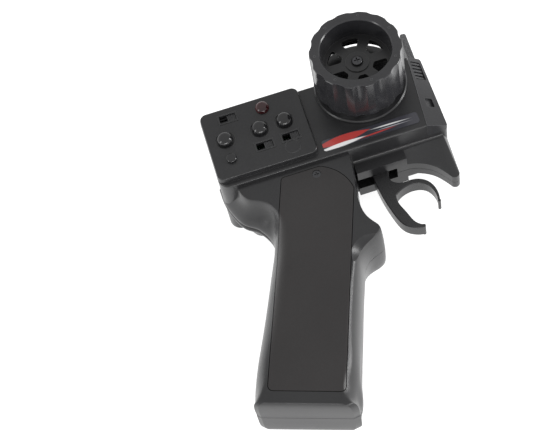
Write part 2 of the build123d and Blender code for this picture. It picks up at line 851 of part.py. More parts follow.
# ---------------------------------------------------------------- antenna cap
with BuildPart() as antenna_cap:
    with BuildSketch(Plane(origin=(0, 0, parting))):
        with BuildLine():
            Polyline(
                (head_front - 4.2, head_top + 1),
                (head_front - 3.5, head_top + 27.2),
                (head_front - 0.1, head_top + 26.6),
                (head_front - 0.6, head_top + 1),
                close=True,
            )
        make_face()
        fillet(vertices().sort_by(Axis.Y)[-2:], 1.2)
    extrude(amount=8, both=True)
    fillet(antenna_cap.faces().sort_by(Axis.Z)[-1].edges(), 0.5)
    fillet(antenna_cap.faces().sort_by(Axis.Z)[0].edges(), 0.5)
    with BuildSketch(Plane(origin=(antenna_foot - 0.6, head_top + 0.7, parting))):
        Rectangle(6.4, 1.4)
    extrude(amount=9.5, both=True)
    with BuildSketch(Plane(origin=(antenna_foot, head_top - 1.4, parting))):
        Rectangle(3.0, 2.8)
    extrude(amount=3.0, both=True)

# ---------------------------------------------------------------- collar and steering bush
collar_top = head_right + collar_rise
bush_top = collar_top + 3.6
with BuildPart() as wheel_collar:
    with BuildSketch(Plane.XY.offset(collar_top - collar_thickness)):
        Circle(collar_radius)
    extrude(amount=collar_thickness)
    chamfer(wheel_collar.faces().sort_by(Axis.Z)[-1].edges(), 0.6)
    with BuildSketch(Plane.XY.offset(collar_top)):
        Circle(8)
    extrude(amount=3.2)
    with BuildSketch(Plane.XY.offset(collar_top - collar_thickness)):
        Circle(bush_radius)
    extrude(amount=10, mode=Mode.SUBTRACT)

with BuildPart() as steering_bush:
    with BuildSketch(Plane.XY.offset(head_right - 8.8)):
        Circle(bush_radius)
    extrude(amount=bush_top - head_right + 8.8)
    with BuildSketch(Plane.XY.offset(head_right - 9)):
        Circle(shaft_radius + fit)
    extrude(amount=20, mode=Mode.SUBTRACT)

# ---------------------------------------------------------------- steering shaft and its pot
pot_height = 15.0
pot_radius = 5.6
with BuildPart() as steering_shaft:
    with BuildSketch(Plane.XY.offset(pot_floor + 6.0)):
        Circle(shaft_radius)
    extrude(amount=disc_front - 2.4 - pot_floor - 6.0)
    with BuildSketch(Plane.XY.offset(head_right - 9.9)):
        Circle(bush_radius - 0.4)
    extrude(amount=0.9)
    with BuildSketch(Plane.XY.offset(disc_front - 9)):
        Circle(1.2)
    extrude(amount=20, mode=Mode.SUBTRACT)

with BuildPart() as steering_pot:
    with BuildSketch(Plane.XY.offset(pot_floor)):
        Circle(pot_radius)
    extrude(amount=pot_height)
    fillet(steering_pot.faces().sort_by(Axis.Z)[-1].edges(), 0.8)
    with BuildSketch(Plane.XY.offset(pot_floor + 5.5)):
        Circle(shaft_radius + fit)
    extrude(amount=pot_height, mode=Mode.SUBTRACT)
    with BuildSketch(Plane(origin=(-pot_radius - 1.0, 0, pot_floor + 2))):
        Rectangle(4.0, 7.0)
    extrude(amount=1.4)

with BuildPart() as steering_return_spring:
    with BuildLine(Plane.XY.offset(pot_floor + pot_height + 0.55)):
        steering_coil = Helix(pitch=1.3, height=4.6, radius=4.6)
    with BuildSketch(Plane(origin=steering_coil @ 0, z_dir=steering_coil % 0)):
        Circle(0.5)
    sweep(path=steering_coil, is_frenet=True)

# ---------------------------------------------------------------- steering wheel
with BuildPart() as wheel_tyre:
    with BuildSketch(Plane.XZ):
        with BuildLine():
            Polyline(
                (wheel_radius - 1.7, wheel_back),
                (wheel_radius - 0.3, wheel_back),
                (wheel_radius, wheel_back + 0.3),
                (wheel_radius, wheel_front - 0.9),
            )
            ThreePointArc(
                (wheel_radius, wheel_front - 0.9),
                (wheel_radius - 0.26, wheel_front - 0.26),
                (wheel_radius - 0.9, wheel_front),
            )
            Polyline(
                (wheel_radius - 0.9, wheel_front),
                (rim_opening + 0.5, wheel_front),
                (rim_opening, wheel_front - 0.5),
                (rim_opening - 0.7, disc_front),
                (rim_opening - 0.7, disc_front - disc_thickness),
                (wheel_radius - 1.9, disc_front - disc_thickness),
                (wheel_radius - 1.7, wheel_back),
            )
        make_face()
    revolve(axis=Axis.Z)
    flute_radius = 8.5
    with BuildSketch(Plane.XY.offset(wheel_back - 1)):
        with PolarLocations(wheel_radius - flute_depth + flute_radius, flutes):
            Circle(flute_radius)
    extrude(amount=wheel_front - wheel_back + 2, mode=Mode.SUBTRACT)

with BuildPart() as wheel_hub:
    with BuildSketch(Plane.XY.offset(disc_front - disc_thickness)):
        Circle(rim_opening - 0.7)
    extrude(amount=disc_thickness)
    with BuildSketch(Plane.XY.offset(disc_front - disc_thickness - 1)):
        Circle(window_outer)
        Circle(window_inner, mode=Mode.SUBTRACT)
        with PolarLocations(window_outer / 2, windows):
            Rectangle(window_outer + 2, spoke_width, mode=Mode.SUBTRACT)
        fillet(vertices(), 1.4)
    extrude(amount=disc_thickness + 2, mode=Mode.SUBTRACT)
    with BuildSketch(Plane.XY.offset(bush_top + 2.4)):
        Circle(6.2)
    extrude(amount=disc_front + 0.6 - bush_top - 2.4)
    with BuildSketch(Plane.XY.offset(bush_top)):
        Circle(shaft_radius)
    extrude(amount=disc_front - 2.4 - bush_top, mode=Mode.SUBTRACT)
    with BuildSketch(Plane.XY.offset(disc_front - 5)):
        Circle(1.2)
    extrude(amount=10, mode=Mode.SUBTRACT)

with BuildPart() as wheel_screw:
    with BuildSketch(Plane.XY.offset(disc_front + 0.6)):
        Circle(3.0)
    extrude(amount=1.5)
    fillet(wheel_screw.faces().sort_by(Axis.Z)[-1].edges(), 0.9)
    with BuildSketch(Plane.XY.offset(disc_front - 8.5)):
        Circle(1.2)
    extrude(amount=9.1)
    with BuildSketch(Plane.XY.offset(disc_front + 1.2)):
        Rectangle(3.2, 0.6)
        Rectangle(0.6, 3.2)
    extrude(amount=3, mode=Mode.SUBTRACT)

# ---------------------------------------------------------------- trigger, pin, spring, pot
# Points of the blade, measured from the pivot. The finger hook curls forward out of the blade
# and the tail runs on below it.
blade_back = [
    (-4.9, -1.0), (-4.4, -15.3), (-3.7, -25.1), (-1.1, -39.5), (2.8, -48.4), (6.2, -50.9), (11.0, -52.4),
]
blade_front = [(11.7, -50.6), (8.2, -47.6), (5.6, -40.5), (3.5, -34.0), (3.6, -29.8)]
ring_inside = [(3.6, -29.8), (8.0, -27.0), (14.1, -26.0), (19.6, -27.8), (23.0, -33.6), (22.9, -39.6)]
ring_outside = [
    (24.2, -39.5), (24.7, -34.2), (21.8, -26.6), (15.0, -23.1),
    (7.0, -22.5), (4.0, -20.0), (4.2, -14.7), (4.9, -1.0),
]
with BuildPart() as trigger:
    with BuildSketch(Plane(origin=(*pivot, parting - blade_half))):
        with BuildLine():
            Spline(*blade_back)
            ThreePointArc(blade_back[-1], (12.3, -51.9), blade_front[0])
            Spline(*blade_front)
            Spline(*ring_inside)
            ThreePointArc(ring_inside[-1], (23.5, -40.9), ring_outside[0])
            Spline(*ring_outside)
            Line(ring_outside[-1], blade_back[0])
        make_face()
    extrude(amount=2 * blade_half)
    fillet(trigger.edges().filter_by(GeomType.BSPLINE), 0.6)
    with BuildSketch(Plane(origin=(*pivot, parting - blade_half))):
        Circle(5.0)
    extrude(amount=2 * blade_half)
    with BuildSketch(Plane(origin=(*pivot, parting - blade_half - 1))):
        Circle(pin_radius)
    extrude(amount=2 * blade_half + 2, mode=Mode.SUBTRACT)

with BuildPart() as trigger_pin:
    with BuildSketch(Plane(origin=(*pivot, 6.4))):
        Circle(pin_radius)
    extrude(amount=parting + blade_half + 9.0 - 6.4)
    chamfer(trigger_pin.edges(), 0.3)

with BuildPart() as trigger_return_spring:
    with BuildLine(Plane(origin=(*pivot, parting + blade_half + 0.65))):
        trigger_coil = Helix(pitch=0.9, height=1.8, radius=3.2)
    with BuildSketch(Plane(origin=trigger_coil @ 0, z_dir=trigger_coil % 0)):
        Circle(0.35)
    sweep(path=trigger_coil, is_frenet=True)

with BuildPart() as throttle_pot:
    with BuildSketch(Plane(origin=(pivot[0], pivot[1] + 2.0, parting + blade_half + 3.5))):
        RectangleRounded(12.5, 12.5, 0.8)
    extrude(amount=8)
    with BuildSketch(Plane(origin=(*pivot, parting + blade_half + 3.5))):
        Circle(pin_radius + fit)
    extrude(amount=6, mode=Mode.SUBTRACT)
    with BuildSketch(Plane(origin=(pivot[0] - 7.2, pivot[1] + 2.0, parting + blade_half + 6))):
        Rectangle(3.0, 7.0)
    extrude(amount=1.0)

# ---------------------------------------------------------------- radio module
with BuildPart() as radio_module:
    with BuildSketch(Plane(origin=(*radio_middle, radio_floor))):
        Rectangle(20, 15)
    extrude(amount=1.6)
    with BuildSketch(Plane(origin=(radio_middle[0] - 2.5, radio_middle[1], radio_floor + 1.6))):
        RectangleRounded(12, 12, 0.6)
    extrude(amount=2.6)
    with BuildSketch(Plane(origin=(radio_middle[0] + 7.0, radio_middle[1] + 4.0, radio_floor + 1.6))):
        Circle(1.4)
    extrude(amount=2.0)


# ---------------------------------------------------------------- wires
def wire(points, radius, bend):
    """Round wire along straight runs joined by bends."""
    with BuildPart() as cord:
        with BuildLine():
            run = FilletPolyline(*points, radius=bend)
        with BuildSketch(Plane(origin=run @ 0, z_dir=run % 0)):
            Circle(radius)
        sweep(path=run)
    return cord.part


antenna_start = (radio_middle[0] + 7.0, radio_middle[1] + 4.0, radio_floor + 3.6)
antenna_wire = wire(
    [
        antenna_start,
        (antenna_start[0], antenna_start[1], parting),
        (antenna_foot, antenna_start[1] + 2.0, parting),
        (antenna_foot, head_top - 2.8, parting),
    ],
    0.7,
    2.0,
)
board_underside = board_top - board_thickness
steering_lead = wire(
    [
        (-pot_radius - 3.0, 0, pot_floor + 2.7),
        (-pot_radius - 9.0, 0, pot_floor + 2.7),
        (board_middle[0] + 16, board_middle[1] + 3, pot_floor + 8),
        (board_middle[0] + 16, board_middle[1] + 3, board_underside),
    ],
    1.0,
    3.0,
)
throttle_lead = wire(
    [
        (pivot[0] - 8.7, pivot[1] + 2.0, parting + blade_half + 6.5),
        (pivot[0] - 14.0, pivot[1] + 2.0, parting + blade_half + 6.5),
        (board_middle[0] + 8, board_middle[1] - 8, parting + blade_half + 4.0),
        (board_middle[0] + 8, board_middle[1] - 8, board_underside),
    ],
    0.9,
    2.5,
)

# ---------------------------------------------------------------- battery tray, cells, contacts
tray_head = bay_foot - tray_length + 0.1
tray_foot = bay_foot - 0.1
tray_floor = 4.8
cell_axis = tray_floor + 17.8
cell_across = cell_radius + 0.2
row_head = (tray_head + tray_foot) / 2 - cell_length


with BuildPart() as battery_tray:
    with BuildSketch(grip_plane(tray_floor)):
        with Locations((0, -(tray_head + tray_foot) / 2)):
            RectangleRounded(2 * bay_across - 0.6, tray_foot - tray_head, 1.0)
    extrude(amount=cell_axis + 3.4 - tray_floor)
    with BuildSketch(grip_plane(cell_axis - cell_radius)):
        with Locations((0, -(tray_head + tray_foot) / 2)):
            Rectangle(4 * cell_across + 0.1, tray_foot - tray_head - 3.0)
    extrude(amount=20, mode=Mode.SUBTRACT)
    with BuildSketch(grip_plane(tray_floor)):
        with Locations((0, -(tray_head + tray_foot) / 2)):
            Rectangle(2 * bay_across - 3.8, tray_foot - tray_head - 3.2)
            Rectangle(1.6, tray_length, mode=Mode.SUBTRACT)
    extrude(amount=cell_axis - cell_radius - 1.8 - tray_floor, mode=Mode.SUBTRACT)


def cell(row, position):
    """One AA cell. Cells in the two rows point opposite ways."""
    middle = row_head + cell_length * (position + 0.5)
    nub = 1 if row > 0 else -1
    with BuildPart() as body:
        with BuildSketch(Plane.XZ):
            with BuildLine():
                Polyline(
                    (0, -cell_length / 2 + 0.2),
                    (cell_radius - 0.4, -cell_length / 2 + 0.2),
                    (cell_radius, -cell_length / 2 + 0.6),
                    (cell_radius, cell_length / 2 - 1.8),
                    (cell_radius - 0.4, cell_length / 2 - 1.4),
                    (2.75, cell_length / 2 - 1.4),
                    (2.75, cell_length / 2),
                    (0, cell_length / 2),
                    close=True,
                )
            make_face()
        revolve(axis=Axis.Z)
    x, y = grip_point(middle, row * cell_across)
    rake = radians(grip_rake)
    place = Plane(origin=(x, y, cell_axis), x_dir=(0, 0, 1), z_dir=(nub * sin(rake), nub * cos(rake), 0))
    return place.location * body.part


with BuildPart() as battery_contacts:
    for end in (tray_head + 1.5, tray_foot - 1.5 - 0.5):
        for row in (-1, 1):
            with BuildSketch(grip_plane(cell_axis - 5.5)):
                with Locations((row * cell_across, -(end + 0.25))):
                    Rectangle(11, 0.5)
            extrude(amount=9)

board_entry = (board_middle[0] - 2, board_middle[1] - 12)


def battery_lead(across, sideways):
    """Lead from the tray's upper end, through the neck, to the underside of the board."""
    start = grip_point(tray_head, across)
    return wire(
        [
            (*start, cell_axis - 3),
            (*grip_point(tray_head - 4, across), cell_axis - 3),
            (grip_top[0] + across, head_bottom + 2, cell_axis - 3),
            (board_entry[0] + sideways, board_entry[1] + 3, parting + 8),
            (board_entry[0] + sideways, board_entry[1] + 3, board_underside),
        ],
        0.75,
        2.0,
    )


# ---------------------------------------------------------------- casing screws
with BuildPart() as casing_screws:
    with BuildSketch(Plane.XY.offset(4.6)):
        with Locations(*casing_screw_spots.values()):
            Circle(screw_head_radius)
    extrude(amount=1.9)
    with BuildSketch(Plane.XY.offset(6.5)):
        with Locations(*casing_screw_spots.values()):
            Circle(screw_radius)
    extrude(amount=parting + 8 - 6.5)
    with BuildSketch(Plane.XY.offset(4.6)):
        with Locations(*casing_screw_spots.values()):
            Rectangle(3.0, 0.6)
            Rectangle(0.6, 3.0)
    extrude(amount=1.0, mode=Mode.SUBTRACT)

# ---------------------------------------------------------------- files
nodes = {
    "right_shell": right_shell.part,
    "left_shell": left_shell.part,
    "control_panel": control_panel.part,
    "battery_door": battery_door.part,
    "door_screw": door_screw.part,
    "front_trim": front_trim.part,
    "antenna_cap": antenna_cap.part,
    "label_plate": label_plate.part,
    "wheel_collar": wheel_collar.part,
    "wheel_tyre": wheel_tyre.part,
    "wheel_hub": wheel_hub.part,
    "wheel_screw": wheel_screw.part,
    "steering_shaft": steering_shaft.part,
    "steering_bush": steering_bush.part,
    "steering_pot": steering_pot.part,
    "steering_return_spring": steering_return_spring.part,
    "trigger": trigger.part,
    "trigger_pin": trigger_pin.part,
    "trigger_return_spring": trigger_return_spring.part,
    "throttle_pot": throttle_pot.part,
    "bind_button": bind_button.part,
    "tact_switch": tact_switch.part,
    "lamp_lens": lamp_lens.part,
    "lamp_diode": lamp_diode.part,
    "control_board": control_board.part,
    "board_screws": board_screws.part,
    "radio_module": radio_module.part,
    "antenna_wire": antenna_wire,
    "steering_lead": steering_lead,
    "throttle_lead": throttle_lead,
    "battery_tray": battery_tray.part,
    "battery_contacts": battery_contacts.part,
    "battery_lead_positive": battery_lead(3.0, 4.0),
    "battery_lead_negative": battery_lead(-5.0, 0.0),
    "casing_screws": casing_screws.part,
}
for name, spot in knob_spots.items():
    nodes[name + "_knob"] = trim_knob(spot)
    nodes[name + "_pot"] = trim_pot(spot)
for name, spot in switch_spots.items():
    nodes[name + "_lever"] = switch_lever(spot)
    nodes[name + "_switch"] = switch_body(spot)
for number, (row, position) in enumerate(((-1, 0), (-1, 1), (1, 0), (1, 1)), 1):
    nodes[f"battery_cell_{number}"] = cell(row, position)

os.makedirs("parts", exist_ok=True)
for name, part in nodes.items():
    part.label = name
    export_step(part, f"parts/{name}.step")
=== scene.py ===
# %% [markdown]
# # A pistol-grip radio transmitter
# This lesson dresses a radio transmitter for a model car: a moulded grip, a box-shaped head with a
# steering wheel on its right side, a trigger, and a small panel of knobs and switches. The solid
# parts come ready-made from the CAD frame. Blender adds the plastics, metals and paints, a few
# small pieces that are finer than the CAD solids, and a soft studio.

from math import cos, pi, radians, sin

import bpy
import bmesh
from mathutils import Matrix, Vector


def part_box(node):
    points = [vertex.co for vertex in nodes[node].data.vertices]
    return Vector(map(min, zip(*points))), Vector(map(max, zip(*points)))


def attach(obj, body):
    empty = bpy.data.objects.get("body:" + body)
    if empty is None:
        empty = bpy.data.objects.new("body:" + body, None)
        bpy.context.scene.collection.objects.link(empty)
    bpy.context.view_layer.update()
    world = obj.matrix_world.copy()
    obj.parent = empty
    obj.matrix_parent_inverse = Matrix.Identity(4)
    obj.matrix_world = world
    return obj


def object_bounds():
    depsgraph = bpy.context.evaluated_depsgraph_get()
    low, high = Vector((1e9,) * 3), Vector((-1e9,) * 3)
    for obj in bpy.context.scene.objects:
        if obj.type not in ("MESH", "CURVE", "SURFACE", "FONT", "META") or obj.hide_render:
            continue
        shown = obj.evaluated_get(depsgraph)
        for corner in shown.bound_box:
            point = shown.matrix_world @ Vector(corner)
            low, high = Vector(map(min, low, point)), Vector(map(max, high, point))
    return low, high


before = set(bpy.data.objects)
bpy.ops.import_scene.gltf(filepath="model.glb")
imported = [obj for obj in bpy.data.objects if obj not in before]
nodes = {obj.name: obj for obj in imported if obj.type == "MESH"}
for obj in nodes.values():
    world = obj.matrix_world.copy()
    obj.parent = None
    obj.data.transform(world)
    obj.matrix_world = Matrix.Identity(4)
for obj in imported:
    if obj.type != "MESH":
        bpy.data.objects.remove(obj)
cad_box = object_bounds()
print("CAD nodes:", len(nodes), "box:", [[round(v, 4) for v in corner] for corner in cad_box])

# %% [markdown]
# ## Where the camera stands
# The transmitter lies on its left side, and the camera looks down on it from the grip's end, half a
# metre or so up. A camera is only a rotation and a place, so its three axes are worked out first: the
# way it looks, its right and its up. A small roll about the viewing line tilts the head up to the
# left. A long lens keeps the sides nearly parallel, as in a catalogue picture.

# %% Camera
camera_distance = 0.780
camera_tilt = radians(30.55)
camera_swing = radians(-3.10)
camera_roll = radians(-18.33)
look_at = Vector((-0.06437, -0.05301, 0.025))
sensor_width = 36.0
lens_length = 97.826

away = Vector((
    sin(camera_tilt) * sin(camera_swing),
    -sin(camera_tilt) * cos(camera_swing),
    cos(camera_tilt),
))
level_right = (-away).cross(Vector((0, 1, 0))).normalized()
level_up = level_right.cross(-away)
right = cos(camera_roll) * level_right + sin(camera_roll) * level_up
up = -sin(camera_roll) * level_right + cos(camera_roll) * level_up

camera_data = bpy.data.cameras.new("camera")
camera_data.sensor_width = sensor_width
camera_data.lens = lens_length
camera_data.clip_start = 0.01
camera = bpy.data.objects.new("camera", camera_data)
bpy.context.scene.collection.objects.link(camera)
place = look_at + camera_distance * away
camera.matrix_world = Matrix((
    (right.x, up.x, away.x, place.x),
    (right.y, up.y, away.y, place.y),
    (right.z, up.z, away.z, place.z),
    (0, 0, 0, 1),
))
bpy.context.scene.camera = camera
print("camera at", [round(v, 3) for v in place])

# %% [markdown]
# ## The studio
# Black plastic has almost no colour of its own: what is seen is what it reflects. So the studio
# matters more than the paint. The floor is one large white sheet that glows a little, like a light
# table, so side faces mirror it and turn grey. The world is bright at the horizon and dim overhead,
# so faces that look up stay dark while rounded edges pick up a light line. The camera itself sees a
# plain white backdrop. A few area lights add the streaks on the wheel and the knobs.

# %% Floor and world
floor_glow = 0.88
horizon_light = 0.85
zenith_light = 0.72
floor_size = 6.0
floor_gap = 0.0002
floor_level = cad_box[0][2] - floor_gap
bpy.ops.mesh.primitive_plane_add(size=floor_size, location=(0, 0, 0))
floor = bpy.context.object
floor.name = "studio_floor"
for corner in floor.data.vertices:
    corner.co.z = floor_level

floor_paint = bpy.data.materials.new("studio_white")
floor_paint.use_nodes = True
shader = floor_paint.node_tree.nodes["Principled BSDF"]
shader.inputs["Base Color"].default_value = (0.50, 0.50, 0.50, 1)
shader.inputs["Roughness"].default_value = 0.9
shader.inputs["Specular IOR Level"].default_value = 0.1
shader.inputs["Emission Color"].default_value = (1.0, 1.0, 1.0, 1)
shader.inputs["Emission Strength"].default_value = floor_glow
floor.data.materials.append(floor_paint)

world = bpy.data.worlds.new("studio_world")
world.use_nodes = True
sky = world.node_tree
sky_direction = sky.nodes.new("ShaderNodeTexCoord")
sky_axes = sky.nodes.new("ShaderNodeSeparateXYZ")
sky.links.new(sky_direction.outputs["Generated"], sky_axes.inputs["Vector"])
height = sky.nodes.new("ShaderNodeMapRange")
height.inputs["From Min"].default_value = 0.15
height.inputs["From Max"].default_value = 0.65
height.inputs["To Min"].default_value = horizon_light
height.inputs["To Max"].default_value = zenith_light
height.interpolation_type = "SMOOTHSTEP"
sky.links.new(sky_axes.outputs["Z"], height.inputs["Value"])
seen = sky.nodes.new("ShaderNodeLightPath")
strength = sky.nodes.new("ShaderNodeMix")
strength.inputs["B"].default_value = 1.0
sky.links.new(seen.outputs["Is Camera Ray"], strength.inputs["Factor"])
sky.links.new(height.outputs["Result"], strength.inputs["A"])
sky.links.new(strength.outputs["Result"], sky.nodes["Background"].inputs["Strength"])
sky.nodes["Background"].inputs["Color"].default_value = (1.0, 1.0, 1.0, 1)
bpy.context.scene.world = world


def softbox(name, place, target, width, height, watts):
    """A rectangular area light that faces a target point."""
    data = bpy.data.lights.new(name, "AREA")
    data.shape = "RECTANGLE"
    data.size = width
    data.size_y = height
    data.energy = watts
    lamp = bpy.data.objects.new(name, data)
    bpy.context.scene.collection.objects.link(lamp)
    lamp.location = place
    lamp.rotation_euler = (Vector(target) - Vector(place)).to_track_quat("-Z", "Y").to_euler()
    return lamp


aim = (-0.03, -0.06, 0.02)
softbox("side_right", (0.85, -0.15, 0.40), aim, 0.20, 0.6, 4.0)
softbox("side_left", (-0.85, -0.20, 0.40), aim, 0.20, 0.5, 1.2)
softbox("below_camera", (-0.10, -1.00, 0.30), aim, 0.8, 0.15, 3.0)
bpy.context.scene.view_settings.view_transform = "Standard"
bpy.context.scene.view_settings.look = "None"

# %% [markdown]
# ## Effects that several finishes share
# Three effects turn up again and again on moulded plastic, so each is a node group, built once:
#
# - *moulded grain*: the fine even texture that a spark-eroded mould leaves. A noise pattern drives
#   a bump and shifts the roughness a little.
# - *edge wear and highlight*: corners that hands and boxes rub become smoother and paler, and the
#   paler edge colour also stands in as a painted highlight along every edge. A Bevel node finds
#   edges by comparing its rounded normal with the true one.
# - *dust and smudge*: broad cloudy changes that keep a large face from looking flat.
#
# A helper makes the empty group with its sockets, so that each effect is only its own few nodes.


# %% Group helper
def new_group(name, inputs, outputs):
    """An empty shader group. Inputs give (name, kind, value), outputs give (name, kind)."""
    group = bpy.data.node_groups.new(name, "ShaderNodeTree")
    for label, kind, value in inputs:
        socket = group.interface.new_socket(name=label, in_out="INPUT", socket_type=kind)
        socket.default_value = value
    for label, kind in outputs:
        group.interface.new_socket(name=label, in_out="OUTPUT", socket_type=kind)
    entry = group.nodes.new("NodeGroupInput")
    leave = group.nodes.new("NodeGroupOutput")
    entry.location = (-700, 0)
    leave.location = (500, 0)
    return group, entry, leave


def math_node(tree, operation, first, second):
    """A Math node. Each side is a number or a socket to link."""
    node = tree.nodes.new("ShaderNodeMath")
    node.operation = operation
    for slot, value in ((0, first), (1, second)):
        if isinstance(value, (int, float)):
            node.inputs[slot].default_value = value
        else:
            tree.links.new(value, node.inputs[slot])
    return node.outputs[0]


# %% Moulded grain
grain_group, entry, leave = new_group(
    "moulded_grain",
    [("Size", "NodeSocketFloat", 2500.0), ("Depth", "NodeSocketFloat", 0.3),
     ("Roughness", "NodeSocketFloat", 0.45), ("Roughness Change", "NodeSocketFloat", 0.1)],
    [("Normal", "NodeSocketVector"), ("Roughness", "NodeSocketFloat"), ("Height", "NodeSocketFloat")],
)
place_node = grain_group.nodes.new("ShaderNodeTexCoord")
grain = grain_group.nodes.new("ShaderNodeTexNoise")
grain.inputs["Detail"].default_value = 3.0
grain.inputs["Roughness"].default_value = 0.65
grain_group.links.new(place_node.outputs["Object"], grain.inputs["Vector"])
grain_group.links.new(entry.outputs["Size"], grain.inputs["Scale"])
bump = grain_group.nodes.new("ShaderNodeBump")
bump.inputs["Distance"].default_value = 0.00008
grain_group.links.new(entry.outputs["Depth"], bump.inputs["Strength"])
grain_group.links.new(grain.outputs["Fac"], bump.inputs["Height"])
change = math_node(grain_group, "SUBTRACT", grain.outputs["Fac"], 0.5)
change = math_node(grain_group, "MULTIPLY", change, entry.outputs["Roughness Change"])
rough = math_node(grain_group, "ADD", change, entry.outputs["Roughness"])
grain_group.links.new(bump.outputs["Normal"], leave.inputs["Normal"])
grain_group.links.new(rough, leave.inputs["Roughness"])
grain_group.links.new(grain.outputs["Fac"], leave.inputs["Height"])

# %% Edge wear and painted highlight
edge_group, entry, leave = new_group(
    "edge_wear_and_highlight",
    [("Width", "NodeSocketFloat", 0.0006), ("Amount", "NodeSocketFloat", 1.0)],
    [("Mask", "NodeSocketFloat")],
)
rounded = edge_group.nodes.new("ShaderNodeBevel")
rounded.samples = 6
edge_group.links.new(entry.outputs["Width"], rounded.inputs["Radius"])
true_face = edge_group.nodes.new("ShaderNodeNewGeometry")
likeness = edge_group.nodes.new("ShaderNodeVectorMath")
likeness.operation = "DOT_PRODUCT"
edge_group.links.new(rounded.outputs["Normal"], likeness.inputs[0])
edge_group.links.new(true_face.outputs["Normal"], likeness.inputs[1])
turned = math_node(edge_group, "SUBTRACT", 1.0, likeness.outputs["Value"])
turned = math_node(edge_group, "MULTIPLY", turned, 6.0)
patches = edge_group.nodes.new("ShaderNodeTexNoise")
patches.inputs["Scale"].default_value = 260.0
patch_place = edge_group.nodes.new("ShaderNodeTexCoord")
edge_group.links.new(patch_place.outputs["Object"], patches.inputs["Vector"])
# This edge mask is partly rubbed wear and partly a painted highlight: it pales every edge.
worn_and_highlit = math_node(edge_group, "MULTIPLY", turned, patches.outputs["Fac"])
worn_and_highlit = math_node(edge_group, "MULTIPLY", worn_and_highlit, entry.outputs["Amount"])
worn_and_highlit = math_node(edge_group, "MINIMUM", worn_and_highlit, 1.0)
edge_group.links.new(worn_and_highlit, leave.inputs["Mask"])

# %% Dust and smudge
smudge_group, entry, leave = new_group(
    "dust_and_smudge",
    [("Size", "NodeSocketFloat", 30.0), ("Amount", "NodeSocketFloat", 1.0)],
    [("Mask", "NodeSocketFloat")],
)
cloud_place = smudge_group.nodes.new("ShaderNodeTexCoord")
clouds = smudge_group.nodes.new("ShaderNodeTexNoise")
clouds.inputs["Detail"].default_value = 4.0
smudge_group.links.new(cloud_place.outputs["Object"], clouds.inputs["Vector"])
smudge_group.links.new(entry.outputs["Size"], clouds.inputs["Scale"])
specks = smudge_group.nodes.new("ShaderNodeTexNoise")
specks.inputs["Scale"].default_value = 900.0
specks.inputs["Detail"].default_value = 2.0
smudge_group.links.new(cloud_place.outputs["Object"], specks.inputs["Vector"])
broad = math_node(smudge_group, "SUBTRACT", clouds.outputs["Fac"], 0.35)
fine = math_node(smudge_group, "SUBTRACT", specks.outputs["Fac"], 0.45)
both = math_node(smudge_group, "ADD", broad, math_node(smudge_group, "MULTIPLY", fine, 0.5))
both = math_node(smudge_group, "MULTIPLY", both, entry.outputs["Amount"])
both = math_node(smudge_group, "MAXIMUM", both, 0.0)
smudge_group.links.new(math_node(smudge_group, "MINIMUM", both, 1.0), leave.inputs["Mask"])
print("effects:", [group.name for group in bpy.data.node_groups])

# %% [markdown]
# ## Moulded plastics
# Nearly everything seen here is black plastic, but no two pieces have the same surface. The casing
# is satin with a fine grain, the door a shade warmer and duller, the wheel glossier, and the knobs
# polished. One function builds them all from the same effects, and each piece gets
# its own colour, grain size, depth and roughness. The coat is set on the shader itself.


# %% Plastic builder
def moulded_plastic(name, color, pale_and_highlight, roughness, grain_size, grain_depth, coat=0.0, wear_and_highlight=0.7):
    """A moulded plastic with grain, cloudy dust and paler edges, partly wear and partly painted
    highlight.
    """
    roughness_change = 0.25 * roughness
    material = bpy.data.materials.new(name)
    material.use_nodes = True
    tree = material.node_tree
    shader = tree.nodes["Principled BSDF"]
    shader.inputs["Coat Weight"].default_value = coat
    shader.inputs["Coat Roughness"].default_value = 0.12
    surface = tree.nodes.new("ShaderNodeGroup")
    surface.node_tree = grain_group
    surface.inputs["Size"].default_value = grain_size
    surface.inputs["Depth"].default_value = grain_depth
    surface.inputs["Roughness"].default_value = roughness
    surface.inputs["Roughness Change"].default_value = roughness_change
    edges = tree.nodes.new("ShaderNodeGroup")
    edges.node_tree = edge_group
    edges.inputs["Amount"].default_value = wear_and_highlight
    dust = tree.nodes.new("ShaderNodeGroup")
    dust.node_tree = smudge_group
    dust.inputs["Amount"].default_value = 0.8
    dusty = tree.nodes.new("ShaderNodeMix")
    dusty.data_type = "RGBA"
    dusty.inputs["A"].default_value = (*color, 1)
    dusty.inputs["B"].default_value = (*[0.6 * a + 0.4 * b for a, b in zip(color, pale_and_highlight)], 1)
    tree.links.new(dust.outputs["Mask"], dusty.inputs["Factor"])
    # Paler edges: partly rubbed wear, partly a painted highlight along the edges.
    rubbed_and_highlit = tree.nodes.new("ShaderNodeMix")
    rubbed_and_highlit.data_type = "RGBA"
    rubbed_and_highlit.inputs["B"].default_value = (*pale_and_highlight, 1)
    tree.links.new(edges.outputs["Mask"], rubbed_and_highlit.inputs["Factor"])
    tree.links.new(dusty.outputs["Result"], rubbed_and_highlit.inputs["A"])
    tree.links.new(rubbed_and_highlit.outputs["Result"], shader.inputs["Base Color"])
    tree.links.new(surface.outputs["Roughness"], shader.inputs["Roughness"])
    tree.links.new(surface.outputs["Normal"], shader.inputs["Normal"])
    return material


def dress(material, *names):
    """Give CAD nodes a material in place of their plain one."""
    for name in names:
        mesh = nodes[name].data
        if not mesh.materials:
            mesh.materials.append(material)
        for index in range(len(mesh.materials)):
            mesh.materials[index] = material
